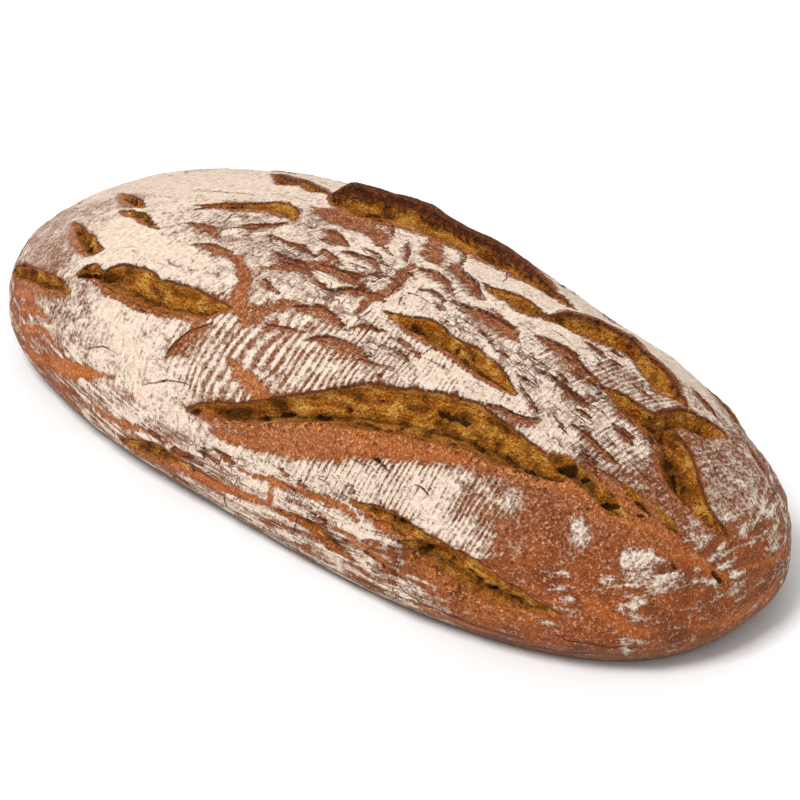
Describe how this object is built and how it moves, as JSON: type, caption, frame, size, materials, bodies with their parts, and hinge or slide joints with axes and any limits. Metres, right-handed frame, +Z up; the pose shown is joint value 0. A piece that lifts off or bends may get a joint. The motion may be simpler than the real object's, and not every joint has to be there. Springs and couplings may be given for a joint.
{
  "type": "farmhouse hearth loaf",
  "caption": "Long oval free-standing loaf of crusty country bread, domed and flour-dusted, its skin burst into long splits, with a flat baked base.",
  "frame": {"origin": "under the middle of the loaf, on the surface that its flat base rests on", "axes": "+X along the loaf's length, +Y across it towards the back, +Z up through the crown"},
  "size_m": [0.4002, 0.1864, 0.089],
  "materials": {
    "crust": "matte"
  },
  "bodies": {
    "root": {"loaf": "crust"}
  },
  "joints": []
}
